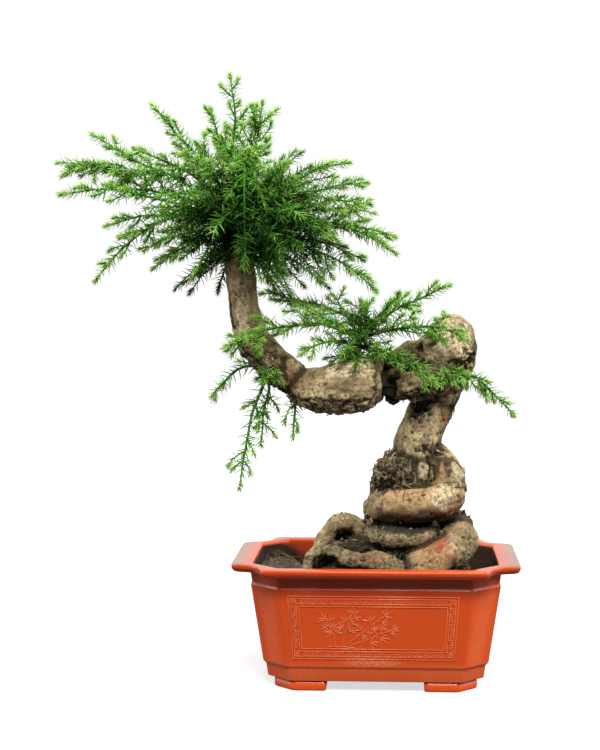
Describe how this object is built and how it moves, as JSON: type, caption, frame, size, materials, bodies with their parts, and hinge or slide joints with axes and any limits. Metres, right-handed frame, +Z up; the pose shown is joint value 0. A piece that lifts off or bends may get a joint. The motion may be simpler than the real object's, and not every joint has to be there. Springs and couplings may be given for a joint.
{
  "type": "norfolk island pine bonsai",
  "caption": "Potted bonsai: a contorted trunk rising from coiled roots through a knot and a loop, with needle sprays at its top and on its bends, in a notched rectangular pot.",
  "frame": {"origin": "under the middle of the whole plant, on the surface that the pot's feet stand on", "axes": "+Z up, the pot's long side along X with its front towards -Y, the crown of foliage towards -X"},
  "size_m": [0.4158, 0.2243, 0.5437],
  "materials": {
    "pot": "moulded orange-red plastic, satin gloss, chalky wear on the raised lines and ledges",
    "bark": "rough grey-tan bark, smooth reddish patches, small pits and flaky dark undersides",
    "soil": "matte crumbly potting soil with bits of moss and dry grass",
    "foliage": "waxy green needles, bright yellow-green at the shoot tips, deep green inside"
  },
  "bodies": {
    "root": {"pot": "pot", "trunk": "bark", "soil": "soil", "crown_spray_01": "foliage", "crown_spray_02": "foliage", "crown_spray_03": "foliage", "crown_spray_04": "foliage", "crown_spray_05": "foliage", "crown_spray_06": "foliage", "crown_spray_07": "foliage", "crown_spray_08": "foliage", "crown_spray_09": "foliage", "crown_spray_10": "foliage", "crown_spray_11": "foliage", "crown_spray_12": "foliage", "crown_spray_13": "foliage", "crown_spray_14": "foliage", "crown_spray_15": "foliage", "crown_spray_16": "foliage", "crown_spray_17": "foliage", "crown_spray_18": "foliage", "crown_spray_19": "foliage", "crown_spray_20": "foliage", "crown_spray_21": "foliage", "crown_spray_22": "foliage", "crown_spray_23": "foliage", "crown_spray_24": "foliage", "crown_spray_25": "foliage", "crown_spray_26": "foliage", "crown_spray_27": "foliage", "crown_spray_28": "foliage", "crown_spray_29": "foliage", "crown_spray_30": "foliage", "crown_spray_31": "foliage", "crown_spray_32": "foliage", "crown_spray_33": "foliage", "loop_spray_34": "foliage", "loop_spray_35": "foliage", "loop_spray_36": "foliage", "loop_spray_37": "foliage", "loop_spray_38": "foliage", "loop_spray_39": "foliage", "loop_spray_40": "foliage", "loop_spray_41": "foliage", "elbow_spray_42": "foliage", "elbow_spray_43": "foliage", "bend_spray_44": "foliage", "bend_spray_45": "foliage", "bend_spray_46": "foliage", "belly_spray_47": "foliage"}
  },
  "joints": []
}
